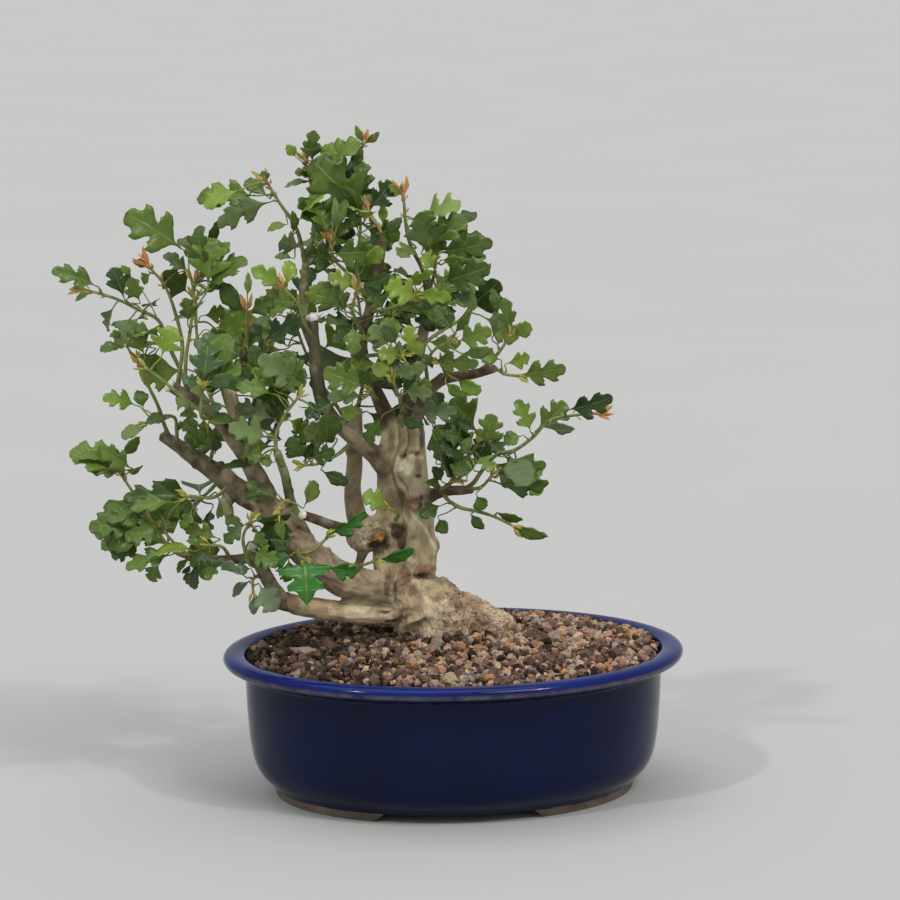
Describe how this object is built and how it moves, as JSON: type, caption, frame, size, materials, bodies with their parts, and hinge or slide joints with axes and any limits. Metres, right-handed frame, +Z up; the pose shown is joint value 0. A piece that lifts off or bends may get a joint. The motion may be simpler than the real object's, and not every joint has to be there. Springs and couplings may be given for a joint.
{
  "type": "hawthorn bonsai in an oval pot",
  "caption": "Small hawthorn tree with lobed leaves and a twin trunk, growing in a low glazed oval pot filled with granular soil.",
  "frame": {"origin": "under the middle of the whole object's box, on the plane that the pot's foot stands on", "axes": "+Z up, X along the pot's long side, with the branches reaching out to -X, and -Y towards the side the picture shows"},
  "size_m": [0.2818, 0.166, 0.3032],
  "materials": {
    "glaze": "glossy dark blue glaze, bare clay at the foot",
    "soil": "loose mixed grit and fired clay grains",
    "net": "dark plastic net",
    "bark": "rough grey-beige bark",
    "paste": "dry white wound paste",
    "leaf": "soft green leaf, lighter and bluer underneath"
  },
  "bodies": {
    "root": {"pot": "glaze", "soil": "soil", "drain_screen_left": "net", "drain_screen_right": "net", "tree": "bark", "seal_branch_top": "paste", "seal_limb_upper": "paste", "seal_limb_low": "paste", "seal_twig_burl": "paste", "shoot_left_tall": "leaf", "shoot_left_thin": "leaf", "shoot_far_left": "leaf", "shoot_left_olive": "leaf", "shoot_left_lime": "leaf", "shoot_left_mid": "leaf", "shoot_low_far": "leaf", "shoot_low_left": "leaf", "shoot_low_upper": "leaf", "shoot_low_mid": "leaf", "shoot_low_hang": "leaf", "shoot_front_low": "leaf", "shoot_trunk_left": "leaf", "shoot_base_left": "leaf", "shoot_stalks": "leaf", "shoot_green_side": "leaf", "shoot_mid_left": "leaf", "shoot_left_twig": "leaf", "shoot_left_blue": "leaf", "shoot_left_centre": "leaf", "shoot_left_gloss": "leaf", "shoot_white_left": "leaf", "shoot_crown_left": "leaf", "shoot_crown_tall": "leaf", "shoot_crown_mid": "leaf", "shoot_crown_low": "leaf", "shoot_crown_right": "leaf", "shoot_right_top": "leaf", "shoot_right_lime": "leaf", "shoot_front_up": "leaf", "shoot_front_pale": "leaf", "shoot_top_front": "leaf", "shoot_top_low": "leaf", "shoot_top_right": "leaf", "shoot_right_tip": "leaf", "shoot_right_far": "leaf", "shoot_right_mid": "leaf", "shoot_right_out": "leaf", "shoot_right_low": "leaf", "shoot_right_near": "leaf", "shoot_front_broad": "leaf", "shoot_front_right": "leaf", "shoot_front_left": "leaf", "shoot_back_left": "leaf", "shoot_back_left_low": "leaf", "shoot_back_left_top": "leaf", "shoot_back_mid": "leaf", "shoot_back_centre": "leaf", "shoot_back_crown": "leaf", "shoot_back_right": "leaf", "shoot_back_right_low": "leaf"}
  },
  "joints": []
}
